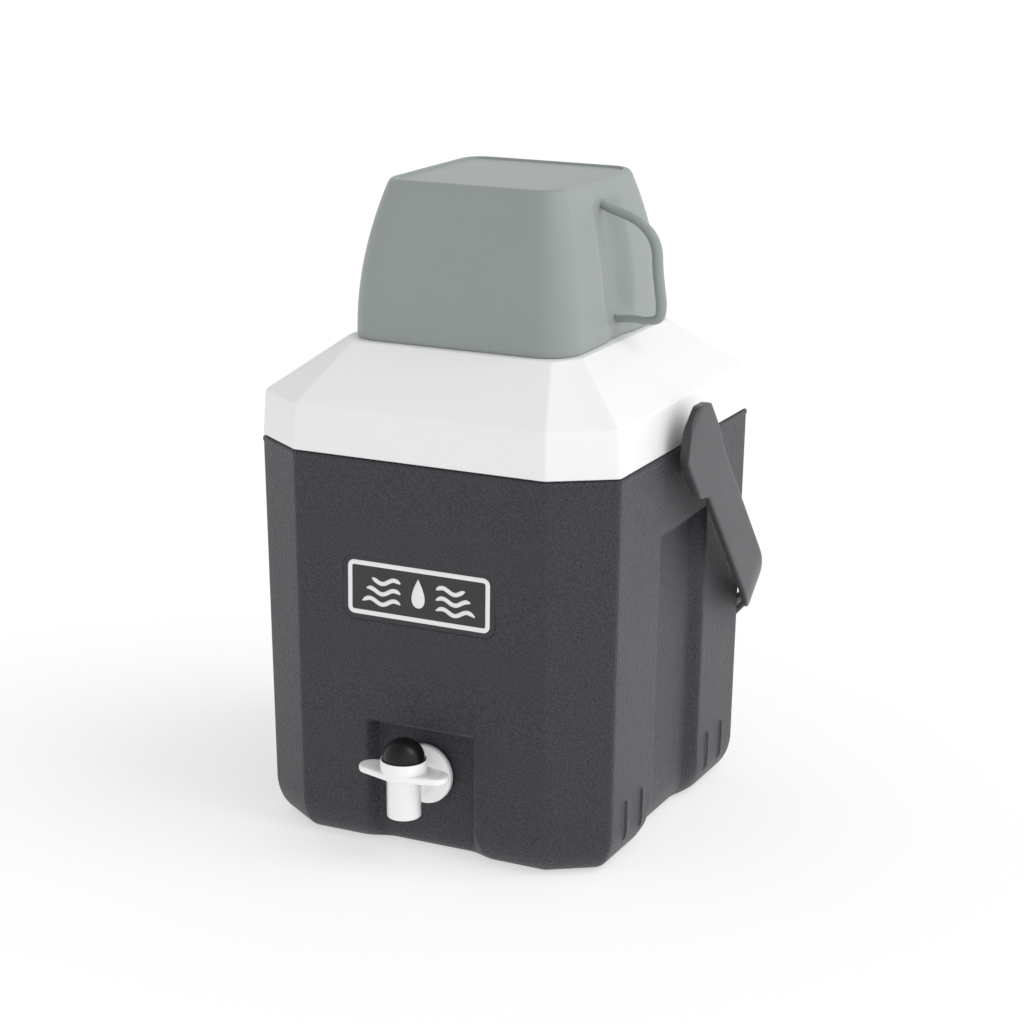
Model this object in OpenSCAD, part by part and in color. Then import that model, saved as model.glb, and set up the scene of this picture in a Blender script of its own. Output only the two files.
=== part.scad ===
// Insulated water jug with a push-button tap, a carry bail and a drinking cup.
// +Z is up, -Y is the front with the tap, and the origin is the centre of the base.

/* [Body] */
// Width of the body across the side faces at the seam
body_w = 200; // [180:1:220]
// Depth of the body from front to back at the seam
body_d = 210; // [190:1:230]
// Height of the seam between the body and the white top
body_h = 206; // [200:1:214]
// How far each wall leans in at the foot
body_taper = 3.2; // [1:0.1:5]
// Corner chamfer measured along the front face
corner_x = 30.6; // [24:0.2:36]
// Corner chamfer measured along the side face
corner_y = 20.8; // [16:0.2:26]
// How far the rounded bottom edge draws in
foot_r = 12; // [8:1:14]
// Height of the rounded bottom edge
foot_h = 20; // [12:1:24]
// How far the rim bead of the body stands proud
rim_proud = 0.4; // [0.3:0.1:1.2]

/* [Walls] */
// Thickness of the outer shell
shell_t = 3; // [2.5:0.1:3.5]
// Thickness of the foam between shell and liner
foam_t = 13; // [12:0.5:14]
// Thickness of the food-grade liner
liner_t = 2; // [1.6:0.1:2.4]

/* [Top cover] */
// Height of the upright band of the white top
band_h = 23.5; // [20:0.5:26]
// Draft of the upright band
band_draft = 1.5; // [0.5:0.1:2.5]
// Height of the flat top face above the base
deck_z = 256; // [254:1:260]
// Half width of the flat top face
deck_x = 65; // [64:0.5:68]
// Half depth of the flat top face
deck_y = 69; // [68:0.5:72]

/* [Filler neck and stopper] */
// Inner radius of the filler neck
neck_r = 38; // [36:0.5:40]
// Wall of the filler neck
neck_t = 4; // [3.5:0.25:5]
// How far the neck stands above the top face
neck_rise = 10; // [8:0.5:12]
// Pitch of the stopper thread
thread_pitch = 6; // [5.5:0.25:7]
// Free space between the two threads
thread_gap = 0.4; // [0.35:0.05:0.5]

/* [Cup] */
// Height of the upside-down cup
cup_h = 80; // [70:1:90]
// Half width of the cup at its mouth
cup_x = 62; // [60:0.5:63]
// Half depth of the cup at its mouth
cup_y = 65; // [63:0.5:66]
// How much narrower the cup is at its foot, per side
cup_lean = 13.2; // [8:0.1:16]
// Wall of the cup
cup_t = 2.2; // [1.8:0.1:2.6]
// Depth of the finger groove behind the cup's handle
groove_depth = 5.5; // [3:0.5:7]
// Radius of the cup's handle bar
cup_bar_r = 3.5; // [2.5:0.1:3.8]

/* [Bail handle] */
// Height of the bail's pivot
pivot_z = 198; // [194:1:200]
// Distance of the bail's outer faces from the middle plane
bail_x = 113.6; // [113:0.2:115]
// Thickness of the bail's strap
bail_t = 3.4; // [3:0.1:3.6]
// Half width of the strap on the arms
arm_half = 14.5; // [12:0.5:16]
// Width of the strap at the grip
grip_w = 14; // [12:0.5:15]
// Distance from the pivot to the inner face of the grip
grip_r = 172; // [171:0.5:175]
// Distance from the pivot to where the arms start to bend
arm_len = 98.5; // [97:0.5:100]
// Angle of the arms from straight down when folded to the back
rest_angle = 40; // [40:0.1:42]
// Radius of the pivot stubs
stub_r = 3.6; // [3:0.1:3.8]

/* [Tap] */
// Distance of the tap's barrel axis in front of the middle plane
tap_y = 120; // [118:0.5:122]
// Height of the tap's shank
shank_z = 42.8; // [40:0.2:45]
// Radius of the spout
spout_r = 8.7; // [8:0.1:11]
// Height of the spout's mouth above the base
spout_z = 28.2; // [26:0.2:30]
// Radius of the push button
button_r = 10.6; // [10:0.1:13]
// Height of the button's crown above the base
button_top = 69.3; // [68:0.1:72]
// Radius of the round wall flange
flange_r = 15.6; // [14:0.1:18]
// Radius of the threaded shank
shank_r = 8; // [7:0.5:9]
// Half width of the recess that the tap stands in
bay_half = 31.5; // [30:0.5:34]
// Height of the recess that the tap stands in
bay_h = 70; // [68:1:74]

/* [Hidden] */
$fn = 72;
eps = 0.01;
gap = 0.2;

// The chamfer shrinks by this share of the inset, so that inset walls stay parallel.
chamfer_len = sqrt(corner_x * corner_x + corner_y * corner_y);
chamfer_k = corner_x + corner_y - chamfer_len;
liner_out = shell_t + foam_t;
liner_in = liner_out + liner_t;
base_t = 3;
liner_floor = 14;
channel_half = 31;
channel_top = 166;
channel_depth = 6.5;
channel_slope = 7;
bay_depth = 10;
bay_floor = body_d / 2 - bay_depth;
wall_tilt = atan(body_taper / body_h);
tap_pad = body_d / 2 - liner_in - body_taper * (1 - shank_z / body_h) - 0.9;
pad_r = flange_r - 1;
band_top = body_h + band_h;
cover_t = 2.5;
skirt_in = 5.4;
skirt_drop = 12;
flange_z = body_h - 2.4;
lining_z = body_h + 1.6;
neck_out = neck_r + neck_t;
neck_top = deck_z + neck_rise;
neck_foot = deck_z - 14;
gasket_t = 1.2;
cup_top = deck_z + cup_h;
socket_face = 107.6;
socket_end = 84.6;
socket_r = 5.6;
socket_flange = 7.6;
boss_r = 7.4;
plug_pos = [46, 40];
badge_w = 85.4;
badge_h = 34;
badge_z = 139;
badge_sink = 1;

// ---- outlines and lofts ----

// Octagon with separate chamfers along X and Y, anticlockwise from the front right.
function octagon(hx, hy, cx, cy) = [
    [hx - cx, -hy], [hx, -hy + cy], [hx, hy - cy], [hx - cx, hy],
    [-hx + cx, hy], [-hx, hy - cy], [-hx, -hy + cy], [-hx + cx, -hy]];
function lift(points, z) = [for (p = points) [p.x, p.y, z]];
// The body's octagon at height z, every face moved in by the inset.
function ring(z, inset) = lift(octagon(body_w / 2 - inset, body_d / 2 - inset,
    corner_x - inset * chamfer_k / corner_y, corner_y - inset * chamfer_k / corner_x), z);
// The flat deck's octagon, moved in by the inset.
function deck_ring(z, inset) =
    lift(octagon(deck_x - inset, deck_y - inset, 9.4 - inset * 0.3, 15 - inset * 0.6), z);
function lean(z) = body_taper * (1 - z / body_h);
function arc(cx, cy, r, a0, a1, steps) =
    [for (i = [0:steps]) let (a = a0 + (a1 - a0) * i / steps) [cx + r * cos(a), cy + r * sin(a)]];

// A closed solid through rings that all have the same number of points.
module loft(rings) {
    n = len(rings[0]);
    last = (len(rings) - 1) * n;
    sides = [for (i = [0:len(rings) - 2]) for (j = [0:n - 1])
        let (a = i * n + j, b = i * n + (j + 1) % n)
        each [[a, a + n, b + n], [a, b + n, b]]];
    polyhedron(points = [for (r = rings) each r],
        faces = concat([[for (j = [0:n - 1]) j]], sides, [[for (j = [n - 1:-1:0]) last + j]]),
        convexity = 6);
}

// A helical rib from radius root to radius crest, starting at height z.
module helix_rib(root, crest, z, turns, wide, narrow) {
    steps = ceil(turns * 24);
    function corner(i, r, dz) = let (a = 360 * turns * i / steps)
        [r * cos(a), r * sin(a), z + thread_pitch * a / 360 + dz];
    section = crest > root
        ? [[root, -wide / 2], [crest, -narrow / 2], [crest, narrow / 2], [root, wide / 2]]
        : [[root, wide / 2], [crest, narrow / 2], [crest, -narrow / 2], [root, -wide / 2]];
    loft([for (i = [0:steps]) [for (j = [3:-1:0]) corner(i, section[j][0], section[j][1])]]);
}

// A round bar swept along points in a plane of constant y, with n sides.
module bar(path, r, n) {
    last = len(path) - 1;
    function along(i) = let (d = path[min(i + 1, last)] - path[max(i - 1, 0)]) d / norm(d);
    loft([for (i = [0:last]) let (d = along(i)) [for (j = [0:n - 1])
        let (a = 360 * j / n) [path[i].x + r * cos(a) * d.y, r * sin(a), path[i].y - r * cos(a) * d.x]]]);
}

// A tube along X between two distances from the middle plane.
module tube_x(x0, x1, r_out, r_in) {
    translate([x0, 0, pivot_z]) rotate([0, 90, 0])
        difference() {
            cylinder(h = x1 - x0, r = r_out);
            translate([0, 0, -1]) cylinder(h = x1 - x0 + 2, r = r_in);
        }
}

// A solid round bar along Y through the tap's shank axis.
module shank_bar(y0, y1, r) {
    translate([0, y0, shank_z]) rotate([-90, 0, 0]) cylinder(h = y1 - y0, r = r);
}

module both_sides() {
    children();
    mirror([1, 0, 0]) children();
}

// ---- jug ----

// Rings of the rounded foot, starting at height low and moved in by the inset.
function foot_rings(low, inset) = [for (i = [0:4]) let (a = 90 * i / 4)
    let (z = low + (foot_h - low) * (1 - cos(a)))
        ring(z, lean(z) + inset + foot_r * (1 - sin(a)))];

// Outside of the body with its rounded foot and the rim bead.
module body_block() {
    rim = [ring(body_h - 2.9, lean(body_h - 2.9)), ring(body_h - 2.3, -rim_proud),
        ring(body_h - 0.8, -rim_proud), ring(body_h, 0)];
    loft(concat(foot_rings(0, 0), rim));
}

// Recess for the tap: soft walls, and feet that flare out at the bottom.
module tap_bay() {
    front = -body_d / 2 - 2;
    loft([for (s = [[-1, 40, 0], [6, 36, 0], [18, bay_half, 0], [bay_h - 6, bay_half, 0],
            [bay_h, bay_half, 6]])
        let (back = -bay_floor - s[2])
        [[-s[1] - 3, front, s[0]], [s[1] + 3, front, s[0]], [s[1] - 5, back, s[0]], [-s[1] + 5, back, s[0]]]]);
}

// Long shallow channel down the middle of a side face.
module side_channel() {
    top = body_w / 2 + 2;
    both_sides()
        loft([for (s = [[-1, 0], [channel_top - 9, 0], [channel_top, channel_depth + 1]])
            let (x = body_w / 2 - channel_depth - lean(max(s[0], 0)) + s[1])
            [[x, -channel_half + channel_slope, s[0]], [top, -channel_half - 1, s[0]],
            [top, channel_half + 1, s[0]], [x, channel_half - channel_slope, s[0]]]]);
}

// Low strengthening ribs near the foot, two on each side of the channel.
module foot_ribs() {
    both_sides() for (y = [-65.5, -45, 45, 65.5])
        translate([body_w / 2 - lean(24) - 1, y - 1.6, foot_r + 2])
            cube([2.2, 3.2, 20]);
}

module outer_shell() {
    color("#45444b") difference() {
        union() {
            difference() {
                body_block();
                loft(concat(foot_rings(base_t, shell_t), [ring(body_h - 8, shell_t),
                    ring(body_h - 7, shell_t - 0.5), ring(body_h - 5, shell_t - 0.5),
                    ring(body_h - 4, shell_t), ring(body_h + 1, shell_t)]));
            }
            foot_ribs();
            intersection() {
                body_block();
                union() {
                    translate([-bay_half - 6, -body_d / 2, 0])
                        cube([2 * bay_half + 12, bay_depth + shell_t, bay_h + 3]);
                    both_sides() translate([body_w / 2 - channel_depth - 6, -channel_half - 2, 0])
                        cube([6 + channel_depth, 2 * channel_half + 4, channel_top + 3]);
                }
            }
            both_sides() tube_x(body_w / 2 - 5.5, body_w / 2 - 1, boss_r, socket_r);
        }
        tap_bay();
        side_channel();
        both_sides() translate([0, 0, pivot_z]) rotate([0, 90, 0])
            cylinder(h = body_w, r = socket_r + 0.05);
        shank_bar(-body_d, -body_d / 4, shank_r + 0.4);
        badge_pocket();
        translate([plug_pos.x, plug_pos.y, -1]) cylinder(h = base_t + 2, r = 9);
    }
}

// The pocket follows the lean of the front wall.
module badge_frame() {
    translate([0, -body_d / 2 + lean(badge_z), badge_z]) rotate([90 - wall_tilt, 0, 0]) children();
}

module badge_outline(inset) {
    r = 6;
    hull() for (x = [-1, 1]) for (y = [-1, 1])
        translate([x * (badge_w / 2 - r), y * (badge_h / 2 - r)]) circle(r = r - inset, $fn = 32);
}

module badge_pocket() {
    badge_frame() translate([0, 0, -badge_sink]) linear_extrude(4) badge_outline(0);
}

module badge_plate() {
    color("#3b3a42") badge_frame() translate([0, 0, -badge_sink])
        linear_extrude(badge_sink - 0.1) badge_outline(gap);
}

module inner_liner() {
    color("#f1f1ee") difference() {
        union() {
            loft([ring(liner_floor, lean(0) + liner_out + 4), ring(liner_floor + 4, lean(0) + liner_out),
                ring(flange_z, liner_out), ring(body_h, liner_out)]);
            loft([ring(flange_z, skirt_in + 0.8), ring(body_h - 0.4, skirt_in + 0.8)]);
            shank_bar(-bay_floor + shell_t + gap, -tap_pad, pad_r);
        }
        difference() {
            loft([ring(liner_floor + liner_t, lean(0) + liner_in + 4),
                ring(liner_floor + liner_t + 4, lean(0) + liner_in), ring(body_h + 1, liner_in)]);
            shank_bar(-body_d / 2, -tap_pad, pad_r);
        }
        translate([-body_w / 2, -body_d / 2, body_h - 0.4]) cube([body_w, body_d, 2]);
        shank_bar(-body_d, 0, shank_r + 0.4);
        both_sides() translate([socket_end, 0, pivot_z]) rotate([0, 90, 0])
            cylinder(h = 20, r = socket_r + gap);
    }
}

module foam_insulation() {
    s = shell_t + gap;
    color("#f4e9b8") difference() {
        loft(concat(foot_rings(base_t + gap, s), [ring(body_h - skirt_drop - 2, s + 0.3),
            ring(body_h - skirt_drop - 1, skirt_in + 0.6), ring(flange_z - gap, skirt_in + 0.6)]));
        loft([ring(liner_floor - gap, lean(0) + liner_out + 4 - gap),
            ring(liner_floor + 4, lean(0) + liner_out - gap), ring(body_h + 1, liner_out - gap)]);
        translate([-bay_half - 6.2, -body_d / 2 - 1, -1])
            cube([2 * bay_half + 12.4, bay_depth + shell_t + 1 + gap, bay_h + 4.2]);
        both_sides() translate([body_w / 2 - channel_depth - 6.2, -channel_half - 2.2, -1])
            cube([20, 2 * channel_half + 4.4, channel_top + 4.2]);
        both_sides() translate([socket_end - 6, 0, pivot_z]) rotate([0, 90, 0])
            cylinder(h = 40, r = boss_r + gap);
        shank_bar(-body_d, 0, pad_r + gap);
        translate([plug_pos.x, plug_pos.y, -1]) cylinder(h = base_t + 4, r = 9.2);
    }
}

module foam_plug() {
    color("#37363d") translate([plug_pos.x, plug_pos.y, 0.4]) {
        cylinder(h = base_t - 0.2, r = 8.8);
        translate([0, 0, base_t - 0.2 - eps]) cylinder(h = 1.2, r = 7.5);
    }
}

// ---- white top ----

module top_cover() {
    color("#f6f6f5") difference() {
        union() {
            difference() {
                loft([ring(body_h, 0), ring(band_top, band_draft), deck_ring(deck_z, 0)]);
                loft([ring(body_h - 1, cover_t), ring(band_top - 1, band_draft + cover_t),
                    deck_ring(deck_z - cover_t, cover_t + 0.5)]);
            }
            difference() {
                loft([ring(body_h - skirt_drop, shell_t + gap), ring(body_h - 7, shell_t + gap),
                    ring(body_h - 6.5, shell_t - 0.3), ring(body_h - 5.5, shell_t - 0.3),
                    ring(body_h - 5, shell_t + gap), ring(body_h, shell_t + gap),
                    ring(body_h, 1), ring(body_h + 3, 1)]);
                loft([ring(body_h - skirt_drop - 1, skirt_in), ring(body_h + 4, skirt_in)]);
                both_sides() translate([body_w / 2 - 10, -boss_r - 0.6, body_h - skirt_drop - 1])
                    cube([12, 2 * boss_r + 1.2, skirt_drop + 1]);
            }
            plinth();
        }
        translate([0, 0, deck_z - 10]) cylinder(h = 30, r = neck_out + 0.3);
    }
}

// Upstand that the cup's mouth grips.
module plinth() {
    fit = cup_t + 0.3;
    difference() {
        loft([cup_ring(deck_z - 0.5, fit), cup_ring(deck_z + 5, fit), cup_ring(deck_z + 6, fit + 0.8)]);
        loft([cup_ring(deck_z - 1, fit + 2.4), cup_ring(deck_z + 7, fit + 2.4)]);
    }
}

module top_liner() {
    color("#eeeeea") difference() {
        union() {
            loft([ring(lining_z, 12), ring(band_top - 3, 13.5), deck_ring(neck_foot + 2, 7)]);
            loft([ring(lining_z, skirt_in + 0.8), ring(lining_z + liner_t, skirt_in + 0.8)]);
        }
        loft([ring(lining_z - 1, 14), ring(band_top - 4, 15.5), deck_ring(neck_foot, 9.5)]);
        translate([0, 0, neck_foot - 10]) cylinder(h = 30, r = neck_out + 0.2);
    }
}

module top_foam() {
    color("#f4e9b8") difference() {
        loft([ring(lining_z + liner_t + gap, skirt_in + 0.8), ring(band_top - 1, band_draft + cover_t + 0.9),
            deck_ring(deck_z - cover_t - gap, cover_t + 1)]);
        loft([ring(lining_z - 1, 12 - gap), ring(band_top - 3, 13.5 - gap),
            deck_ring(neck_foot + 2 + gap, 7 - gap)]);
        translate([0, 0, neck_foot - 10]) cylinder(h = 40, r = neck_out + 0.2);
    }
}

module rim_gasket() {
    color("#d9d9d4") difference() {
        loft([ring(body_h - 0.4, 9), ring(lining_z, 9)]);
        loft([ring(body_h - 1, 13), ring(lining_z + 1, 13)]);
    }
}

module filler_neck() {
    color("#f4f4f2") {
        difference() {
            union() {
                translate([0, 0, neck_foot - 2]) cylinder(h = neck_top - neck_foot + 2, r = neck_out);
                translate([0, 0, neck_foot - 2]) cylinder(h = 2, r = neck_out + 4);
            }
            translate([0, 0, neck_foot - 3]) cylinder(h = neck_top - neck_foot + 4, r = neck_r);
        }
        helix_rib(neck_r + 1.2, neck_r - 1.6, neck_foot + 5, 2.25, 3.2, 1.4);
    }
}

// ---- stopper ----

stopper_core = neck_r - 1.6 - thread_gap;
seat_z = neck_top + gasket_t;

module stopper_cap() {
    color("#f2f2f0") {
        difference() {
            union() {
                translate([0, 0, neck_foot + 2]) cylinder(h = seat_z - neck_foot - 1, r = stopper_core);
                translate([0, 0, seat_z]) cylinder(h = 3, r = neck_out + 1);
            }
            translate([0, 0, neck_foot + 1]) cylinder(h = seat_z - neck_foot - 2, r = stopper_core - 2.4);
        }
        translate([0, 0, seat_z + 3 - eps]) grip_bar();
        helix_rib(stopper_core - 0.3, neck_r - thread_gap, neck_foot + 8, 1.5, 2.2, 1.4);
    }
}

// Finger bar across the stopper, waisted on both flanks.
module grip_bar() {
    difference() {
        union() {
            translate([-28, -6, 0]) cube([56, 12, 14]);
            for (x = [-28, 28]) translate([x, 0, 0]) cylinder(h = 14, r = 6);
        }
        for (y = [-1, 1]) translate([0, y * 46, -1]) cylinder(h = 16, r = 42);
    }
}

module stopper_foam() {
    color("#f4e9b8") translate([0, 0, neck_foot + 4.2])
        cylinder(h = seat_z - neck_foot - 5.4, r = stopper_core - 2.6);
}

module stopper_base() {
    color("#eeeeea") translate([0, 0, neck_foot]) {
        cylinder(h = 2, r = stopper_core - 0.2);
        translate([0, 0, 2 - eps]) cylinder(h = 2, r = stopper_core - 2.6);
    }
}

module stopper_gasket() {
    color("#c9cac6") translate([0, 0, neck_top]) difference() {
        cylinder(h = gasket_t, r = neck_out - 0.3);
        translate([0, 0, -1]) cylinder(h = gasket_t + 2, r = stopper_core + 0.3);
    }
}

// ---- cup ----

// Soft step from 1 at the middle to 0 beyond the edge, for the finger groove.
function bump(y) = 1 - smooth((abs(y) - 6) / 14);
function smooth(u) = let (v = min(1, max(0, u))) v * v * (3 - 2 * v);
function fade(z) = smooth((cup_top - 6 - z) / 16) * (0.3 + 0.7 * smooth((z - deck_z - 7) / 10));
// Outline of the cup at height z, moved in by the inset, with the groove in its +X side.
function cup_ring(z, inset) = let (
        u = (z - deck_z) / cup_h,
        hx = cup_x - cup_lean * u * u - inset,
        hy = cup_y - (cup_lean + 2) * u * u - inset,
        r = max(18 - 5 * u - inset, 4),
        groove = groove_depth * fade(z),
        side = [for (y = [-20:4:20]) [hx - groove * bump(y), y]])
    lift(concat(arc(hx - r, -hy + r, r, -90, 0, 6), side, arc(hx - r, hy - r, r, 0, 90, 6),
        arc(-hx + r, hy - r, r, 90, 180, 6), arc(-hx + r, -hy + r, r, 180, 270, 6)), z);

// Middle line of the cup's handle, as x against height above the mouth.
cup_bar = [[48, 69], [55, 65.7], [66, 62.2], [72.6, 58.8], [78.1, 53.4], [81, 46.5], [81.8, 36.5],
    [83.1, 26.4], [84, 18.3], [82.8, 12.1], [76.9, 10], [69.2, 10.3], [56, 9.6]];

module cup() {
    levels = [for (h = [0, 7, 10, 14, 18, 30, 42, 54, 64, 71, 77]) deck_z + h * (cup_h - 3) / 77];
    color("#949b98") difference() {
        union() {
            loft(concat([for (z = levels) cup_ring(z, 0)],
                [cup_ring(cup_top - 1, 0.5), cup_ring(cup_top, 1.6)]));
            bar([for (p = cup_bar) [p.x, p.y + deck_z]], cup_bar_r, 12);
        }
        loft(concat([cup_ring(deck_z - 1, cup_t)], [for (z = levels) cup_ring(z + 0.1, cup_t)],
            [cup_ring(cup_top - cup_t - 1.2, cup_t + 1)]));
        loft([cup_ring(cup_top - 1.2, 4.6), cup_ring(cup_top + 1, 3.4)]);
    }
}

// ---- bail ----

// Side outline of the bail: s runs from the pivot along the arm, t across it.
// Past the arms the lower edge draws back, so that the folded bail clears the body's rear corners.
grip_top = 12;
relief_s = 117;
relief_len = 12;
bail_outline = concat(
    [[-34.6, -8], [-24.5, -22], [4, -22], [13, -arm_half]],
    [for (i = [0:6]) [relief_s + relief_len * i / 6,
        -arm_half + (arm_half - grip_w + grip_top) * smooth(i / 6)]],
    [[grip_r + 10, grip_top - grip_w], [grip_r + 10, grip_top], [130, grip_top], [107, arm_half],
    [14, arm_half], [-7, 17.5], [-27, 17.5], [-34.6, 9.5]]);

// Outer line of the strap from the arm round to the grip, as x against s, moved in by the inset.
bend_angle = 36;
bend_r = 60;
tip_r = 20;
tip_s = grip_r + bail_t - tip_r;
tip_x = bail_x - bend_r - (tip_s - arm_len) * tan(bend_angle) + (bend_r - tip_r) / cos(bend_angle);
function strap_side(inset) =
    concat(arc(bail_x - bend_r, arm_len, bend_r - inset, 0, bend_angle, 8),
        arc(tip_x, tip_s, tip_r - inset, bend_angle, 90, 6));

function flip(points) = [for (i = [len(points) - 1:-1:0]) [-points[i].x, points[i].y]];

module bail_front() {
    head_x = bail_x - bail_t - 1.5;
    outer = concat([[bail_x, -40]], strap_side(0));
    inner = concat([[head_x, -40], [head_x, 12], [bail_x - bail_t, 14]], strap_side(bail_t));
    difference() {
        polygon(concat(outer, flip(outer)));
        polygon(concat(inner, flip(inner)));
    }
}

module bail_handle() {
    color("#4b4a52") translate([0, 0, pivot_z]) rotate([rest_angle, 0, 0]) {
        intersection() {
            rotate([-90, 0, 0]) translate([0, 0, -40]) linear_extrude(80) bail_front();
            translate([-bail_x - 10, 0, 0]) rotate([90, 0, 90]) linear_extrude(2 * bail_x + 20)
                polygon([for (p = bail_outline) [p[1], -p[0]]]);
        }
        both_sides() pivot_stub();
    }
}

// Moulded stub that snaps into the socket, with a lead-in on its head.
module pivot_stub() {
    rotate([0, 90, 0]) {
        translate([0, 0, socket_end + 3.5]) cylinder(h = bail_x - 3 - socket_end - 3.5, r = stub_r);
        translate([0, 0, socket_end + 3.5]) cylinder(h = 3, r1 = stub_r - 0.4, r2 = stub_r + 0.8);
        translate([0, 0, socket_face + 0.9]) cylinder(h = bail_x - 4 - socket_face, r = stub_r + 4);
    }
}

module pivot_socket() {
    head = stub_r + 1.1;
    flange_x = body_w / 2 + rim_proud + 0.1;
    translate([0, 0, pivot_z]) rotate([0, 90, 0]) difference() {
        union() {
            translate([0, 0, socket_end]) cylinder(h = socket_face - socket_end, r = socket_r);
            translate([0, 0, flange_x]) cylinder(h = socket_face - flange_x, r = socket_flange);
        }
        translate([0, 0, socket_end + 2]) cylinder(h = 40, r = stub_r + 0.05);
        translate([0, 0, socket_end + 2]) cylinder(h = 5.5, r = head);
    }
}

module pivot_socket_left() {
    color("#2f2e34") mirror([1, 0, 0]) pivot_socket();
}

module pivot_socket_right() {
    color("#2f2e34") pivot_socket();
}

module pivot_washer() {
    tube_x(socket_face, socket_face + 0.7, stub_r + 4, stub_r + 0.4);
}

module pivot_washer_left() {
    color("#e2e2dc") mirror([1, 0, 0]) pivot_washer();
}

module pivot_washer_right() {
    color("#e2e2dc") pivot_washer();
}

// ---- tap ----

collar_z = 58.6;
wing_z = 49.5;
wing_t = 3.2;
seat_low = 36.4;
seat_high = 38.4;
chamber_r = 7;
button_fit = 0.35;
collar_r = button_r + 1.25;
button_drop = 4;
spring_low = wing_z + 1.8;
stem_foot = spout_z + button_drop + 0.6;
plate_z = collar_z + 4;
plate_t = 2.4;

module at_tap() {
    translate([0, -tap_y, 0]) children();
}

module tap_body() {
    color("#f7f7f7") difference() {
        union() {
            at_tap() {
                translate([0, 0, spout_z]) cylinder(h = wing_z - spout_z + 1, r = spout_r);
                translate([0, 0, wing_z]) cylinder(h = collar_z - wing_z, r = collar_r);
                translate([0, 0, wing_z]) linear_extrude(wing_t) finger_plate();
            }
            shank_bar(-tap_y, -bay_floor - 2, shank_r + 0.4);
            shank_bar(-bay_floor - 5, -bay_floor - 1.2, flange_r);
            shank_bar(-bay_floor - 2, -tap_pad + 9, shank_r);
        }
        at_tap() {
            translate([0, 0, spout_z - 1]) cylinder(h = seat_low - spout_z + 1, r = chamber_r);
            translate([0, 0, spout_z]) cylinder(h = 30, r = 5);
            translate([0, 0, seat_high]) cylinder(h = 14, r = chamber_r);
            translate([0, 0, spring_low]) cylinder(h = 20, r = button_r + button_fit);
        }
        shank_bar(-tap_y, 0, 5.2);
    }
}

// Finger rest with round ends, widest at the barrel.
module finger_plate() {
    hull() for (x = [-18, 0, 18]) translate([x, 0]) circle(r = x == 0 ? collar_r : 6.7, $fn = 48);
}

module tap_button() {
    skirt_z = spring_low + button_drop + 0.4;
    crown = collar_z + 0.5;
    color("#161617") at_tap() rotate_extrude() polygon(concat(
        [[0, plate_z + plate_t], [7.2, plate_z + plate_t], [button_r - 1.6, skirt_z + 2],
            [button_r - 1.6, skirt_z], [button_r, skirt_z]],
        [for (i = [0:12]) let (a = 90 * i / 12)
            [button_r * cos(a), crown + (button_top - crown) * sin(a)]]));
}

module valve_stem() {
    color("#e8e8e6") at_tap() {
        translate([0, 0, stem_foot]) cylinder(h = plate_z + 1 - stem_foot, r = 2);
        translate([0, 0, plate_z]) cylinder(h = plate_t, r = 6.6);
        translate([0, 0, stem_foot]) cylinder(h = 1.5, r = 4.2);
    }
}

module valve_seal() {
    low = stem_foot + 1.5;
    color("#2a2a2b") at_tap() translate([0, 0, low]) difference() {
        cylinder(h = seat_low - low, r = chamber_r - 0.6);
        translate([0, 0, -1]) cylinder(h = 8, r = 2);
    }
}

module stem_guide() {
    color("#dcdcd8") at_tap() translate([0, 0, spring_low - 2.4]) difference() {
        cylinder(h = 2.4, r = chamber_r - 0.05);
        translate([0, 0, -1]) cylinder(h = 8, r = 2.06);
    }
}

module return_spring() {
    turns = 5;
    steps = turns * 16;
    wire = 0.5;
    coil_r = 5.2;
    low = spring_low + wire;
    high = plate_z - wire;
    color("#b9bcc0") at_tap()
        loft([for (i = [0:steps]) let (a = 360 * turns * i / steps)
            [for (j = [5:-1:0]) let (b = 60 * j, r = coil_r + wire * cos(b))
                [r * cos(a), r * sin(a), low + (high - low) * i / steps + wire * sin(b)]]]);
}

module tap_washer(y, t) {
    difference() {
        shank_bar(y, y + t, flange_r - 2);
        shank_bar(y - 1, y + t + 1, shank_r + 0.1);
    }
}

module tap_outer_washer() {
    color("#1d1d1f") tap_washer(-bay_floor - 1.2, 1.2);
}

module tap_inner_washer() {
    color("#1d1d1f") tap_washer(-tap_pad, 2);
}

module tap_nut() {
    y = -tap_pad + 2;
    color("#f0f0ee") difference() {
        translate([0, y, shank_z]) rotate([-90, 0, 0]) {
            cylinder(h = 5, r = 14, $fn = 6);
            cylinder(h = 1.2, r = 14.5);
        }
        shank_bar(y - 1, y + 8, shank_r + 0.06);
    }
}

outer_shell();
inner_liner();
foam_insulation();
foam_plug();
badge_plate();
top_cover();
top_liner();
top_foam();
rim_gasket();
filler_neck();
stopper_cap();
stopper_foam();
stopper_base();
stopper_gasket();
cup();
bail_handle();
pivot_socket_left();
pivot_socket_right();
pivot_washer_left();
pivot_washer_right();
tap_body();
tap_button();
valve_stem();
valve_seal();
return_spring();
stem_guide();
tap_outer_washer();
tap_inner_washer();
tap_nut();
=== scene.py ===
"""Looks of the insulated water jug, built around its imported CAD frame.

Everything is in metres in the CAD frame: +Z is up, -Y is the front with the tap, +X the cup's handle.
Sizes and places are written in millimetres and multiplied by MM. The main ones repeat those of the CAD.
"""

import math

import bmesh
import bpy
import numpy as np
from mathutils import Matrix, Vector


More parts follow.
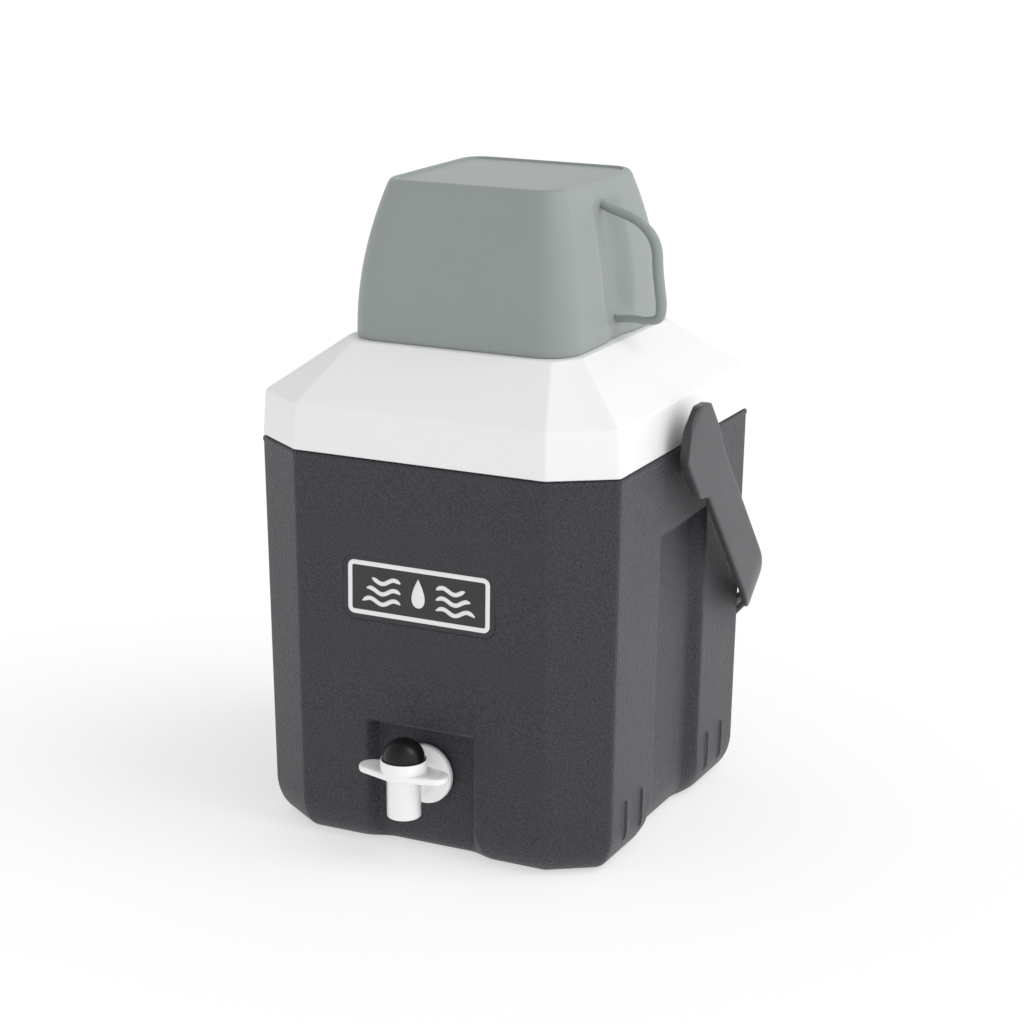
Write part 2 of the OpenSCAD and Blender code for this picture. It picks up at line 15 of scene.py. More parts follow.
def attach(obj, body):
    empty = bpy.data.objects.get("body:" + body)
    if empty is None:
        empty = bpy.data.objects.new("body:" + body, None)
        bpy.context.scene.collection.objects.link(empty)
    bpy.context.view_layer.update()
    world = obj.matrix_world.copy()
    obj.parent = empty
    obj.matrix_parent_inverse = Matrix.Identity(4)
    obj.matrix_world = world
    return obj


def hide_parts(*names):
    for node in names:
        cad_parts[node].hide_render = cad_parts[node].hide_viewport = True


MM = 0.001
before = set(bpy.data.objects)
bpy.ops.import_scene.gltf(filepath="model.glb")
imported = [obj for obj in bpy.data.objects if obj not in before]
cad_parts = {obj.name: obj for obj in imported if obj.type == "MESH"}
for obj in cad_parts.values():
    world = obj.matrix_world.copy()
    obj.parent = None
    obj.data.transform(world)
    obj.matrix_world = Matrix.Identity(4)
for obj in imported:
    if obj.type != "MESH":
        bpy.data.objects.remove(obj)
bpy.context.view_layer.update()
scene = bpy.context.scene


# ---------------------------------------------------------------- camera, light and floor

def add_camera():
    """The viewing angle of the photograph: a long lens, to the right of the tap and a little above."""
    spot = Vector((567.4, -1167.1, 521.8)) * MM
    target = Vector((0.2, 1.9, 155.6)) * MM
    roll = 0.005
    look = (target - spot).normalized()
    right = look.cross(Vector((0, 0, 1))).normalized()
    up = right.cross(look)
    right, up = right * math.cos(roll) + up * math.sin(roll), up * math.cos(roll) - right * math.sin(roll)
    data = bpy.data.cameras.new("camera")
    data.lens = 89.6
    data.sensor_width = 36
    data.clip_end = 50
    cam = bpy.data.objects.new("camera", data)
    scene.collection.objects.link(cam)
    cam.matrix_world = Matrix((right, up, -look)).transposed().to_4x4()
    cam.location = spot
    scene.camera = cam


def add_surround():
    """A white surround that dims overhead and is brighter on the right."""
    scene.view_settings.view_transform = "Standard"
    world = bpy.data.worlds.new("surround")
    scene.world = world
    world.use_nodes = True
    tree = world.node_tree
    way = tree.nodes.new("ShaderNodeTexCoord")
    split = tree.nodes.new("ShaderNodeSeparateXYZ")
    dim = tree.nodes.new("ShaderNodeMapRange")
    dim.inputs["To Min"].default_value = 1.0
    dim.inputs["To Max"].default_value = 0.45
    side = tree.nodes.new("ShaderNodeMapRange")
    side.inputs["From Min"].default_value = 0.05
    side.inputs["From Max"].default_value = 0.75
    side.inputs["To Max"].default_value = 0.5
    both = tree.nodes.new("ShaderNodeMath")
    tree.links.new(way.outputs["Generated"], split.inputs["Vector"])
    tree.links.new(split.outputs["Z"], dim.inputs["Value"])
    tree.links.new(split.outputs["X"], side.inputs["Value"])
    tree.links.new(dim.outputs["Result"], both.inputs[0])
    tree.links.new(side.outputs["Result"], both.inputs[1])
    tree.links.new(both.outputs["Value"], tree.nodes["Background"].inputs["Strength"])
    tree.nodes["Background"].inputs["Color"].default_value = (1.0, 1.0, 1.0, 1)


def add_broad_source():
    """One broad soft source from the upper right."""
    data = bpy.data.lights.new("broad_source", "SUN")
    data.energy = 0.8
    data.angle = math.radians(38)
    lamp = bpy.data.objects.new("broad_source", data)
    scene.collection.objects.link(lamp)
    lamp.rotation_euler = Vector((-0.64, -0.064, -0.766)).to_track_quat("-Z", "Y").to_euler()


def add_floor():
    """A pale floor that glows a little, so that it meets the white surround without an edge."""
    bpy.ops.mesh.primitive_plane_add(size=30, location=(0, 0, 0))
    floor = bpy.context.object
    floor.name = "floor"
    mat = bpy.data.materials.new("floor")
    mat.use_nodes = True
    shader = mat.node_tree.nodes["Principled BSDF"]
    shader.inputs["Base Color"].default_value = (0.5, 0.5, 0.5, 1)
    shader.inputs["Roughness"].default_value = 0.9
    shader.inputs["Specular IOR Level"].default_value = 0.1
    shader.inputs["Emission Color"].default_value = (1.0, 1.0, 1.0, 1)
    shader.inputs["Emission Strength"].default_value = 0.54
    floor.data.materials.append(mat)


# ---------------------------------------------------------------- materials

def new_material(name, colour, roughness, spec=0.5):
    mat = bpy.data.materials.new(name)
    mat.use_nodes = True
    shader = mat.node_tree.nodes["Principled BSDF"]
    shader.inputs["Base Color"].default_value = (*colour, 1)
    shader.inputs["Roughness"].default_value = roughness
    shader.inputs["Specular IOR Level"].default_value = spec
    return mat


def add_node(mat, kind, **values):
    """A node with its input values set by name."""
    node = mat.node_tree.nodes.new(kind)
    for key, value in values.items():
        node.inputs[key.replace("_", " ")].default_value = value
    return node


def local_place(mat):
    coord = mat.node_tree.nodes.new("ShaderNodeTexCoord")
    return coord.outputs["Object"]


def noise(mat, scale, detail=4.0, roughness=0.5):
    node = add_node(mat, "ShaderNodeTexNoise", Scale=scale, Detail=detail, Roughness=roughness)
    mat.node_tree.links.new(local_place(mat), node.inputs["Vector"])
    return node.outputs["Fac"]


def shader_input(mat, name):
    return mat.node_tree.nodes["Principled BSDF"].inputs[name]


def vary_colour(mat, source, low, high):
    """The base colour wanders between two colours with the source."""
    mix = mat.node_tree.nodes.new("ShaderNodeMix")
    mix.data_type = "RGBA"
    mix.inputs["A"].default_value = (*low, 1)
    mix.inputs["B"].default_value = (*high, 1)
    mat.node_tree.links.new(source, mix.inputs["Factor"])
    mat.node_tree.links.new(mix.outputs["Result"], shader_input(mat, "Base Color"))


def vary_gloss(mat, source, low, high):
    """The roughness wanders between two values with the source."""
    ramp = add_node(mat, "ShaderNodeMapRange", To_Min=low, To_Max=high)
    mat.node_tree.links.new(source, ramp.inputs["Value"])
    mat.node_tree.links.new(ramp.outputs["Result"], shader_input(mat, "Roughness"))


def add_bump(mat, source, strength, distance):
    """One more layer of relief, on top of those the material has."""
    bump = add_node(mat, "ShaderNodeBump", Strength=strength, Distance=distance)
    mat.node_tree.links.new(source, bump.inputs["Height"])
    normal = shader_input(mat, "Normal")
    if normal.links:
        mat.node_tree.links.new(normal.links[0].from_socket, bump.inputs["Normal"])
    mat.node_tree.links.new(bump.outputs["Normal"], normal)


def plastic(name, colour, roughness, grain=0.04, scale=900, drift=0.06, spec=0.5):
    """Moulded plastic: a faint fine texture, a slow wander of gloss and a small wander of tone."""
    mat = new_material(name, colour, roughness, spec)
    slow = noise(mat, 14, 3.0)
    brightest = 0.95
    vary_colour(mat, slow, tuple(c * (1 - drift) for c in colour),
                tuple(min(c * (1 + drift), brightest) for c in colour))
    vary_gloss(mat, noise(mat, 60, 5.0), roughness * 0.88, min(roughness * 1.12, 1))
    add_bump(mat, noise(mat, scale, 2.0), grain, 0.1 * MM)
    return mat


def add_sheen(mat, weight):
    """Extra light at grazing angles, as a fine moulded grain gives."""
    shader_input(mat, "Sheen Weight").default_value = weight
    shader_input(mat, "Sheen Roughness").default_value = 0.45
    return mat


def pebble(name, colour, roughness):
    """Moulded pebble grain: rounded cells about a millimetre wide, with a fine speckle of tone."""
    mat = new_material(name, colour, roughness)
    cells = add_node(mat, "ShaderNodeTexVoronoi", Scale=1000.0, Randomness=1.0)
    mat.node_tree.links.new(local_place(mat), cells.inputs["Vector"])
    crisp = add_node(mat, "ShaderNodeMapRange", From_Min=0.36, From_Max=0.64)
    mat.node_tree.links.new(noise(mat, 1150, 1.0, 0.7), crisp.inputs["Value"])
    vary_colour(mat, crisp.outputs["Result"], tuple(c * 0.45 for c in colour),
                tuple(c * 1.55 for c in colour))
    vary_gloss(mat, noise(mat, 60, 5.0), roughness * 0.9, min(roughness * 1.1, 1))
    add_bump(mat, cells.outputs["Distance"], 0.8, 0.6 * MM)
    add_bump(mat, noise(mat, 620, 3.0, 0.6), 0.6, 0.6 * MM)
    return add_sheen(mat, 0.14)


def metal(name, colour, roughness):
    mat = plastic(name, colour, roughness, 0.05, 1500, 0.04)
    shader_input(mat, "Metallic").default_value = 1.0
    return mat


def foam_look(name, colour):
    mat = plastic(name, colour, 0.9, 0.0, 400, 0.10)
    add_bump(mat, noise(mat, 700, 2.0), 0.8, 0.4 * MM)
    return mat


# plastic() takes the name, colour, roughness, grain, scale of the grain, drift of tone and specular level.
CHARCOAL = (0.0215, 0.0202, 0.0285)
LOOK = {
    "shell": pebble("shell_grain", CHARCOAL, 0.52),
    "handle": add_sheen(plastic("handle_satin", (0.030, 0.029, 0.035), 0.45, 0.10, 1100), 0.12),
    "white": plastic("top_white", (0.83, 0.83, 0.83), 0.42, 0.03, 1300, 0.01),
    "cup": add_sheen(plastic("cup_sage", (0.258, 0.290, 0.280), 0.5, 0.05, 1200, 0.03), 0.22),
    "liner": plastic("liner_white", (0.80, 0.80, 0.78), 0.35, 0.03, 900, 0.02),
    "foam": foam_look("foam_cream", (0.80, 0.72, 0.42)),
    "badge": plastic("badge_dark", (0.018, 0.018, 0.023), 0.32, 0.03, 1500, 0.04),
    "badge_line": plastic("badge_white", (0.80, 0.80, 0.81), 0.35, 0.02, 1500, 0.01),
    "tap": plastic("tap_white", (0.89, 0.89, 0.89), 0.20, 0.02, 900, 0.01),
    "button": plastic("button_rubber", (0.005, 0.005, 0.0055), 0.3, 0.04, 1600, 0.10, 0.3),
    "rubber": plastic("seal_rubber", (0.02, 0.02, 0.021), 0.6, 0.06, 1200, 0.10),
    "gasket": plastic("gasket_grey", (0.52, 0.53, 0.52), 0.6, 0.04, 1000, 0.05),
    "spring": metal("spring_steel", (0.55, 0.55, 0.57), 0.28),
    "socket": plastic("socket_dark", (0.016, 0.016, 0.019), 0.45, 0.05, 1100, 0.06),
}


# ---------------------------------------------------------------- mesh helpers

def smooth(u):
    """Soft step from 0 to 1."""
    v = np.clip(u, 0, 1)
    return v * v * (3 - 2 * v)


def soft_box(a, b, r):
    """Distance to a rectangle's edge, negative inside, from the distances a and b past its sides.

    The corners have radius r.
    """
    return np.hypot(np.maximum(a + r, 0), np.maximum(b + r, 0)) - r + np.minimum(np.maximum(a, b) + r, 0)


def spaced(start, end, coarse, marks=(), fine=0.6, reach=2.0):
    """Millimetres from start to end in coarse steps that shrink to fine ones near the marks."""
    found = [start]
    while found[-1] < end:
        near = min([abs(found[-1] - m) for m in marks] + [99.0])
        found.append(found[-1] + fine + (coarse - fine) * float(smooth((near - reach) / (2.5 * reach))))
    share = (end - start) / (found[-1] - start)
    return [start + (f - start) * share for f in found]


def both_ways(values):
    """The values and their mirror images, sorted."""
    return sorted(set([-v for v in values] + list(values)))


def add_mesh(name, parts, material, body):
    """A finished piece from (points, faces) islands in metres, with its look and body."""
    points, faces = [], []
    for some, quads in parts:
        faces += [[v + len(points) for v in q] for q in quads]
        points += [tuple(p) for p in some]
    mesh = bpy.data.meshes.new(name)
    mesh.from_pydata(points, [], faces)
    mesh.validate()
    mesh.update()
    piece = bpy.data.objects.new(name, mesh)
    scene.collection.objects.link(piece)
    mesh.materials.append(material)
    mesh.polygons.foreach_set("use_smooth", [True] * len(mesh.polygons))
    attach(piece, body)
    return piece


def recalc(piece):
    """Joins doubled points and turns every face of the piece outwards."""
    same_place = 1e-7
    shape = bmesh.new()
    shape.from_mesh(piece.data)
    bmesh.ops.remove_doubles(shape, verts=shape.verts, dist=same_place)
    bmesh.ops.recalc_face_normals(shape, faces=shape.faces)
    shape.to_mesh(piece.data)
    shape.free()


def grid(rows, loop=False, cap_start=False, cap_end=False):
    """Points and faces of a sheet of equal closed rows; loop joins the last row to the first."""
    count = len(rows[0])
    points = [p for row in rows for p in row]
    faces = []
    for i in range(len(rows) if loop else len(rows) - 1):
        low, high = i * count, (i + 1) % len(rows) * count
        faces += [(low + j, low + (j + 1) % count, high + (j + 1) % count, high + j) for j in range(count)]
    for wanted, start, turn in ((cap_start, 0, -1), (cap_end, (len(rows) - 1) * count, 1)):
        if wanted:
            points.append(tuple(np.mean(np.array(points[start:start + count]), axis=0)))
            hub = len(points) - 1
            faces += [(start + j, start + (j + 1) % count, hub)[::turn] for j in range(count)]
    return points, faces


def lathe(profile, count=96, place=None):
    """A profile of (radius, height) in millimetres turned about Z; a radius of 0 closes it."""
    least = 1e-4
    rows = []
    for r, z in profile:
        reach = max(r, least) * MM
        turns = [2 * math.pi * k / count for k in range(count)]
        rows.append([(reach * math.cos(a), reach * math.sin(a), z * MM) for a in turns])
    points, faces = grid(rows)
    if place is not None:
        points = [tuple(place @ Vector(p)) for p in points]
    return points, faces


def fillet(profile, radii, steps=5):
    """Rounds the corners of an open profile; radii holds one radius for each inner point."""
    out = [tuple(profile[0])]
    for before, at, after, r in zip(profile, profile[1:], profile[2:], radii):
        p, a, b = (np.array(q, float) for q in (at, before, after))
        u, v = (a - p) / np.linalg.norm(a - p), (b - p) / np.linalg.norm(b - p)
        turn = math.acos(float(np.clip(u @ v, -1, 1)))
        if r <= 0 or turn > math.radians(178):
            out.append(tuple(at))
            continue
        cut = min(r / math.tan(turn / 2), 0.47 * np.linalg.norm(a - p), 0.47 * np.linalg.norm(b - p))
        centre = p + (u + v) / np.linalg.norm(u + v) * (cut / math.cos(turn / 2))
        first, last = p + u * cut - centre, p + v * cut - centre
        sweep = math.pi - turn
        for k in range(steps + 1):
            f = k / steps
            out.append(tuple(centre + (first * math.sin((1 - f) * sweep) + last * math.sin(f * sweep))
                             / math.sin(sweep)))
    out.append(tuple(profile[-1]))
    return out


def rounded_loop(corners, radii, steps=5):
    """A closed outline with its corners rounded."""
    n = len(corners)
    out = []
    for k in range(n):
        piece = fillet([corners[k - 1], corners[k], corners[(k + 1) % n]], [radii[k]], steps)
        out += piece[1:-1]
    return out


def column_fillet(rings, radii, steps=5):
    """Rounds the folds between rings of points column by column."""
    rings = [np.array(r, float) for r in rings]
    out = [rings[0]]
    for before, at, after, r in zip(rings, rings[1:], rings[2:], radii):
        if r <= 0:
            out.append(at)
            continue
        a, b = before - at, after - at
        la, lb = np.linalg.norm(a, axis=1), np.linalg.norm(b, axis=1)
        u, v = a / la[:, None], b / lb[:, None]
        turn = np.arccos(np.clip((u * v).sum(1), -0.9999, 0.9999))
        cut = np.minimum(np.minimum(r / np.tan(turn / 2), 0.47 * la), 0.47 * lb)
        for k in range(steps + 1):
            f = k / steps
            p, q, w = (1 - f) ** 2, f * f, 2 * f * (1 - f) * np.sin(turn / 2)
            out.append(at + (u * (cut * p / (p + q + w))[:, None] + v * (cut * q / (p + q + w))[:, None]))
    out.append(rings[-1])
    return out


def curve_through(points, steps):
    """A smooth open curve through the points."""
    p = [np.array(q, float) for q in points]
    p = [2 * p[0] - p[1]] + p + [2 * p[-1] - p[-2]]
    out = []
    for a, b, c, d in zip(p, p[1:], p[2:], p[3:]):
        for k in range(steps):
            t = k / steps
            out.append(tuple(0.5 * (2 * b + (c - a) * t + (2 * a - 5 * b + 4 * c - d) * t ** 2
                                    + (3 * b - a - 3 * c + d) * t ** 3)))
    return out + [tuple(p[-2])]


# ---------------------------------------------------------------- the octagonal body

BODY_X, BODY_Y = 100.0, 105.0        # half width and half depth at the seam, in millimetres
CORNER_X, CORNER_Y = 30.6, 20.8      # chamfer along the front and along the side
SEAM_Z = 206.0
BAND_Z, DECK_Z = 229.5, 256.0        # top of the white band, and the flat deck that carries the cup
TAPER = 3.2                          # how far each wall leans in from the seam down to the base
FOOT_R, FOOT_H = 12.0, 20.0          # how far the bottom edge draws in, and how tall it is
CHAMFER_K = CORNER_X + CORNER_Y - math.hypot(CORNER_X, CORNER_Y)


def body_octagon(inset):
    """Half sizes and chamfers of the body's octagon with every wall moved in by the inset."""
    return (BODY_X - inset, BODY_Y - inset, CORNER_X - inset * CHAMFER_K / CORNER_Y,
            CORNER_Y - inset * CHAMFER_K / CORNER_X)


class Columns:
    """Columns around an octagon, aligned from ring to ring."""

    def __init__(self, front, side, back, chamfer=(-8, 0, 8), corner_steps=5):
        self.flats = [front, chamfer, side, chamfer, back, chamfer, side, chamfer]
        self.steps = corner_steps
        self.face, self.along = [], []
        for k, marks in enumerate(self.flats):
            self.face += [-1] * (corner_steps + 1) + [k] * len(marks)
            self.along += [0.0] * (corner_steps + 1) + list(marks)
        self.face, self.along = np.array(self.face), np.array(self.along)
        self.rest = [self.length(k, *body_octagon(0), 4.0) for k in range(8)]

    @staticmethod
    def corners(hx, hy, cx, cy):
        return [np.array(p) for p in ((-hx + cx, -hy), (hx - cx, -hy), (hx, -hy + cy), (hx, hy - cy),
                                      (hx - cx, hy), (-hx + cx, hy), (-hx, hy - cy), (-hx, -hy + cy))]

    def length(self, k, hx, hy, cx, cy, r):
        """Half length of a flat between its rounded ends."""
        c = self.corners(hx, hy, cx, cy)
        whole = np.linalg.norm(c[(k + 1) % 8] - c[k])
        turns = []
        for at in (k, (k + 1) % 8):
            u, v = c[at - 1] - c[at], c[(at + 1) % 8] - c[at]
            half = math.acos(float(u @ v / np.linalg.norm(u) / np.linalg.norm(v))) / 2
            turns.append(r / math.tan(half))
        return (whole - sum(turns)) / 2

    def ring(self, hx, hy, cx, cy, r=4.0, keep=50.0):
        """Points (x, y) in millimetres; flats keep their columns in place up to keep from their middle."""
        c = self.corners(hx, hy, cx, cy)
        out = []
        for k in range(8):
            before, at, after = c[k - 1], c[k], c[(k + 1) % 8]
            out += fillet([before, at, after], [r], self.steps)[1:-1]
            way = (after - at) / np.linalg.norm(after - at)
            middle = (at + after) / 2
            length, rest = self.length(k, hx, hy, cx, cy, r), self.rest[k]
            hold = min(keep, 0.6 * rest)
            for m in self.flats[k]:
                far = abs(m)
                if far > hold:
                    far = hold + (far - hold) * (length - hold) / (rest - hold)
                out.append(tuple(middle + way * math.copysign(far, m)))
        return np.array(out)


def at_height(ring, z):
    """A ring in millimetres lifted to height z, in metres."""
    return [(p[0] * MM, p[1] * MM, z * MM) for p in ring]


def lean(z):
    """How far the walls lean in at height z."""
    return TAPER * (1 - z / SEAM_Z)


def foot(z):
    """How far the rounded bottom edge draws in at height z."""
    return FOOT_R * (1 - math.sqrt(1 - ((FOOT_H - z) / FOOT_H) ** 2)) if z < FOOT_H else 0.0


BAY_HALF, BAY_TOP, BAY_DEPTH = 31.5, 70.0, 10.0
BAY_FLARE_H, BAY_FLARE = 16, 9                 # the bay widens by the flare over this height at its base
CHANNEL_HALF, CHANNEL_TOP, CHANNEL_DEPTH = 32.0, 166.0, 6.5
CHANNEL_FLARE_H, CHANNEL_FLARE = 25, 13
RIBS, RIB_LOW, RIB_HIGH, RIB_PROUD = (45.0, 65.5), 13.0, 32.6, 1.1
BADGE_Z, BADGE_W, BADGE_H = 139.0, 85.4, 34.0
BLEND = 1.3                                    # how softly the recesses run into the rounded foot
SHELL_T = 3.0


def front_recess(x, z):
    """Depth of the tap bay and the badge pocket below the front wall."""
    flare = max(0.0, 1 - z / BAY_FLARE_H) ** 2
    inside = -soft_box(np.abs(x) - BAY_HALF - BAY_FLARE * flare, np.full_like(x, z - BAY_TOP), 4.0)
    bay = (BAY_DEPTH - lean(z)) * smooth(inside / (5.5 + 14 * flare))
    past_end = np.full_like(x, abs(z - BADGE_Z) - BADGE_H / 2)
    pocket = -soft_box(np.abs(x) - BADGE_W / 2, past_end, 6.0)
    return bay + 1.0 * smooth(pocket / 0.8)


def side_recess(y, z):
    """Depth of the side channel, less the height of the strengthening ribs."""
    flare = max(0.0, 1 - z / CHANNEL_FLARE_H) ** 1.5
    past_top = np.full_like(y, z - CHANNEL_TOP)
    inside = -soft_box(np.abs(y) - CHANNEL_HALF - CHANNEL_FLARE * flare, past_top, 3.0)
    depth = CHANNEL_DEPTH * smooth(inside / (8.5 + 16 * flare))
    for rib in RIBS:
        off = np.hypot(np.abs(y) - rib, max(0.0, z - RIB_HIGH, RIB_LOW - z)) - 1.0
        depth = depth - RIB_PROUD * smooth(0.5 - off / 0.9)
    return depth


def make_shell():
    """Charcoal tub in one skin: base, outer wall with its recesses, rim bead and inner wall."""
    front = both_ways(spaced(0, 64, 4.5, (27, 29, 31, 33, 35, 37, 42.5), 0.55)[1:] + [0])
    side = both_ways(spaced(0, 79, 5.0, (24, 27, 30, 44, 46, 64.5, 66.5), 0.45, 1.2)[1:] + [0])
    back = both_ways([0, 13, 26, 39, 52, 64])
    cols = Columns(front, side, back)
    heights = [FOOT_H * (1 - math.cos(math.radians(a))) for a in np.linspace(0, 90, 20)]
    heights += spaced(FOOT_H, 202.3, 4.0, (32, 34, 64, 66.5, 69, 122, 122.5, 155.5, 156, 158, 161, 164),
                      0.6, 2.0)[1:]

    def wall(z, extra=0.0):
        base = foot(z)
        ring = cols.ring(*body_octagon(lean(z) + base + extra))
        for face, sign, way in ((0, 1, (0, 1)), (2, 1, (-1, 0)), (6, 1, (1, 0))):
            pick = cols.face == face
            along = cols.along[pick]
            cut = front_recess(along, z) if face == 0 else side_recess(along, z)
            joined = (np.maximum(cut, 0) ** BLEND + base ** BLEND) ** (1 / BLEND)
            deep = np.where(cut > 0, joined - base, cut)
            ring[pick] += sign * deep[:, None] * np.array(way)
        return ring

    underside = ((30, 1.4), (25.5, 1.4), (24, 0))
    rows = [at_height(cols.ring(*body_octagon(inset), 4.0), z) for inset, z in underside]
    rows += [at_height(wall(z), z) for z in heights]
    rim = [(0.0, 202.6), (-0.2, 202.8), (-0.35, 203.2), (-0.35, 204.4), (-0.2, 204.8), (0.2, 205.1),
           (0.9, 205.3), (1.5, 205.4), (1.5, 205.9), (3.0, 205.9), (3.1, 200.0)]
    rows += [at_height(cols.ring(*body_octagon(inset)), z) for inset, z in rim]
    rows += [at_height(wall(z, SHELL_T), z) for z in (194, 168, 159, 100, 72, 64, 20, 10, 6)]
    rows += [at_height(cols.ring(*body_octagon(17)), 4.4), at_height(cols.ring(*body_octagon(30)), 4.4)]
    skin = grid(rows, cap_start=True, cap_end=True)
    shell = add_mesh("body_shell", [skin], LOOK["shell"], "jug")
    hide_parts("outer_shell")


def make_top():
    """White top: an upright band, eight facets rising to a flat deck, and the ring that the cup sits on."""
    cols = Columns(both_ways([0, 20, 42, 60]), both_ways([0, 20, 42, 62, 76]), both_ways([0, 20, 42, 60]),
                   (-12, -4, 4, 12), 6)
    deck = (65.0, 69.0, 9.4, 15.0)
    hole_r, deck_t = 42.3, 2.5

    def inner(shape, by):
        hx, hy, cx, cy = shape
        return hx - by, hy - by, cx - by * 0.3, cy - by * 0.6

    def deck_ring(shape, z, r):
        corners = cols.corners(*shape)
        out = []
        for k in range(8):
            out += fillet([corners[k - 1], corners[k], corners[(k + 1) % 8]], [r], cols.steps)[1:-1]
            at, nxt = corners[k], corners[(k + 1) % 8]
            for m in cols.flats[k]:
                out.append(tuple((at + nxt) / 2 + (nxt - at) / 2 * (m / cols.rest[k]) * 0.93))
        return at_height(out, z)

    top = deck_ring(deck, DECK_Z, 3.0)
    hole = []
    for x, y, _ in top:
        away = math.hypot(x, y)
        hole.append((hole_r * MM * x / away, hole_r * MM * y / away, DECK_Z * MM))
    low_hole = [(x, y, z - deck_t * MM) for x, y, z in hole]
    rings = [
        low_hole,
        deck_ring(inner(deck, 3.0), DECK_Z - deck_t, 3.0),
        at_height(cols.ring(*body_octagon(4.0), 3.0), BAND_Z - 1),
        at_height(cols.ring(*body_octagon(2.5), 3.0), SEAM_Z),
        at_height(cols.ring(*body_octagon(0.0), 3.4), SEAM_Z),
        at_height(cols.ring(*body_octagon(1.5), 3.4), BAND_Z),
        top, hole, low_hole]
    soft = column_fillet(rings, [0, 0, 0.3 * MM, 0.7 * MM, 2.4 * MM, 2.4 * MM, 0.5 * MM])
    ridge = [cup_ring(z, inset) for z, inset in ((255.6, 2.5), (261.2, 2.5), (261.8, 2.8), (262.0, 3.4),
                                                 (262.0, 4.3), (261.7, 4.8), (255.6, 4.9))]
    piece = add_mesh("top_shell", [grid(soft), grid(ridge)], LOOK["white"], "jug")
    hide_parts("top_cover")


# ---------------------------------------------------------------- cup

CUP_X, CUP_Y, CUP_FOOT, CUP_H = 62.0, 65.0, DECK_Z, 80.0
CUP_LEAN_X, CUP_LEAN_Y = 13.2, 15.2            # how far the sides draw in over the height of the cup
GROOVE_DEPTH, CUP_WALL = 5.5, 2.2
GROOVE_MARKS = both_ways([0, 3, 6, 8, 10, 12, 14, 16, 18, 20, 22, 26, 34])


def cup_outline(z, inset):
    """Outline of the cup at height z, moved in by the inset, with the groove on its +X side."""
    u = max(z - CUP_FOOT, 0) / CUP_H
    hx = CUP_X - CUP_LEAN_X * u * u - inset
    hy = CUP_Y - CUP_LEAN_Y * u * u - inset
    r = max(18 - 5 * u - inset, 5)
    fade = float(smooth((CUP_FOOT + CUP_H - 6 - z) / 16) * (0.3 + 0.7 * smooth((z - CUP_FOOT - 7) / 10)))
    out = []
    sides = (((hx, -hy), (0, 1), hy, GROOVE_MARKS),
             ((hx, hy), (-1, 0), hx, both_ways([0, 12, 24, 34])),
             ((-hx, hy), (0, -1), hy, both_ways([0, 12, 24, 36])),
             ((-hx, -hy), (1, 0), hx, both_ways([0, 12, 24, 34])))
    for (cx, cy), way, half, marks in sides:
        start = math.atan2(way[1], way[0]) - math.pi / 2
        centre = (cx - math.copysign(r, cx), cy - math.copysign(r, cy))
        turn = start - math.pi / 2
        for k in range(13):
            a = turn + k / 12 * math.pi / 2
            out.append((centre[0] + r * math.cos(a), centre[1] + r * math.sin(a)))
        base = np.array([cx, cy], float) + np.array(way) * half
        scale = (half - r) / (CUP_Y - 18.5 if way[0] == 0 else CUP_X - 18.5)
        for m in marks:
            at = m * min(scale, 1.0)
            if way == (0, 1):
                at = math.copysign(min(abs(m), 20) + max(abs(m) - 20, 0) * (half - r - 21) / 26.5, m)
            p = base + np.array(way) * at
            if way == (0, 1):
                p[0] -= GROOVE_DEPTH * fade * float(1 - smooth((abs(at) - 6) / 15))
            out.append(tuple(p))
    return out


def cup_ring(z, inset):
    return at_height(cup_outline(z, inset), z)


def sweep(path, radii, sides=20):
    """A round bar along points in the XZ plane, with a radius for each point."""
    rows = []
    for i, (p, r) in enumerate(zip(path, radii)):
        a, b = path[max(i - 1, 0)], path[min(i + 1, len(path) - 1)]
        d = np.array([b[0] - a[0], b[1] - a[1]])
        d = d / np.linalg.norm(d)
        rows.append([((p[0] + r * math.cos(t) * d[1]) * MM, r * math.sin(t) * MM,
                      (p[1] - r * math.cos(t) * d[0]) * MM)
                     for t in (2 * math.pi * j / sides for j in range(sides))])
    return grid(rows, cap_start=True, cap_end=True)


def make_cup():
    """Drinking cup upside down on the deck, with its bar handle."""
    top = CUP_FOOT + CUP_H
    levels = spaced(CUP_FOOT + 1.2, top - 2.6, 3.0, (260, 320), 1.5, 6.0)
    panel_and_edge = [(1.2, 14.0), (1.2, 8), (1.2, 4.6), (1.1, 4.1), (0.25, 3.7), (0, 3.3), (0, 2.0),
                      (0.15, 1.3), (0.6, 0.65), (1.4, 0.25)]
    rows = [cup_ring(top - down, inset) for down, inset in panel_and_edge]
    rows += [cup_ring(z, 0.0) for z in levels[::-1]]
    lip = [(0.5, 0.1), (0.1, 0.5), (0, 1.1), (0.1, 1.7), (0.5, 2.1)]
    rows += [cup_ring(CUP_FOOT + up, inset) for up, inset in lip]
    rows += [cup_ring(z, CUP_WALL) for z in levels]
    rows += [cup_ring(top - down, inset) for down, inset in ((3.6, 3.4), (3.4, 6.0), (3.4, 16.0))]
    shape = grid(rows[::-1], cap_start=True, cap_end=True)
    bar = [(49.4, 68.4, 2.5), (55, 65.7, 2.4), (66, 62.2, 2.4), (72.6, 58.8, 2.5), (78.1, 53.4, 2.7),
           (81, 46.5, 2.8), (81.8, 36.5, 2.8), (83.1, 26.4, 2.8), (84, 18.3, 2.8), (82.8, 12.1, 2.5),
           (76.9, 10, 2.1), (69.2, 10.3, 2.0), (58.4, 9.6, 2.0)]
    line = curve_through([(x, z + CUP_FOOT, r) for x, z, r in bar], 6)
    handle = sweep([(x, z) for x, z, _ in line], [r for _, _, r in line])
    cup = add_mesh("drinking_cup", [shape, handle], LOOK["cup"], "drinking_cup")
    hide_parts("cup")


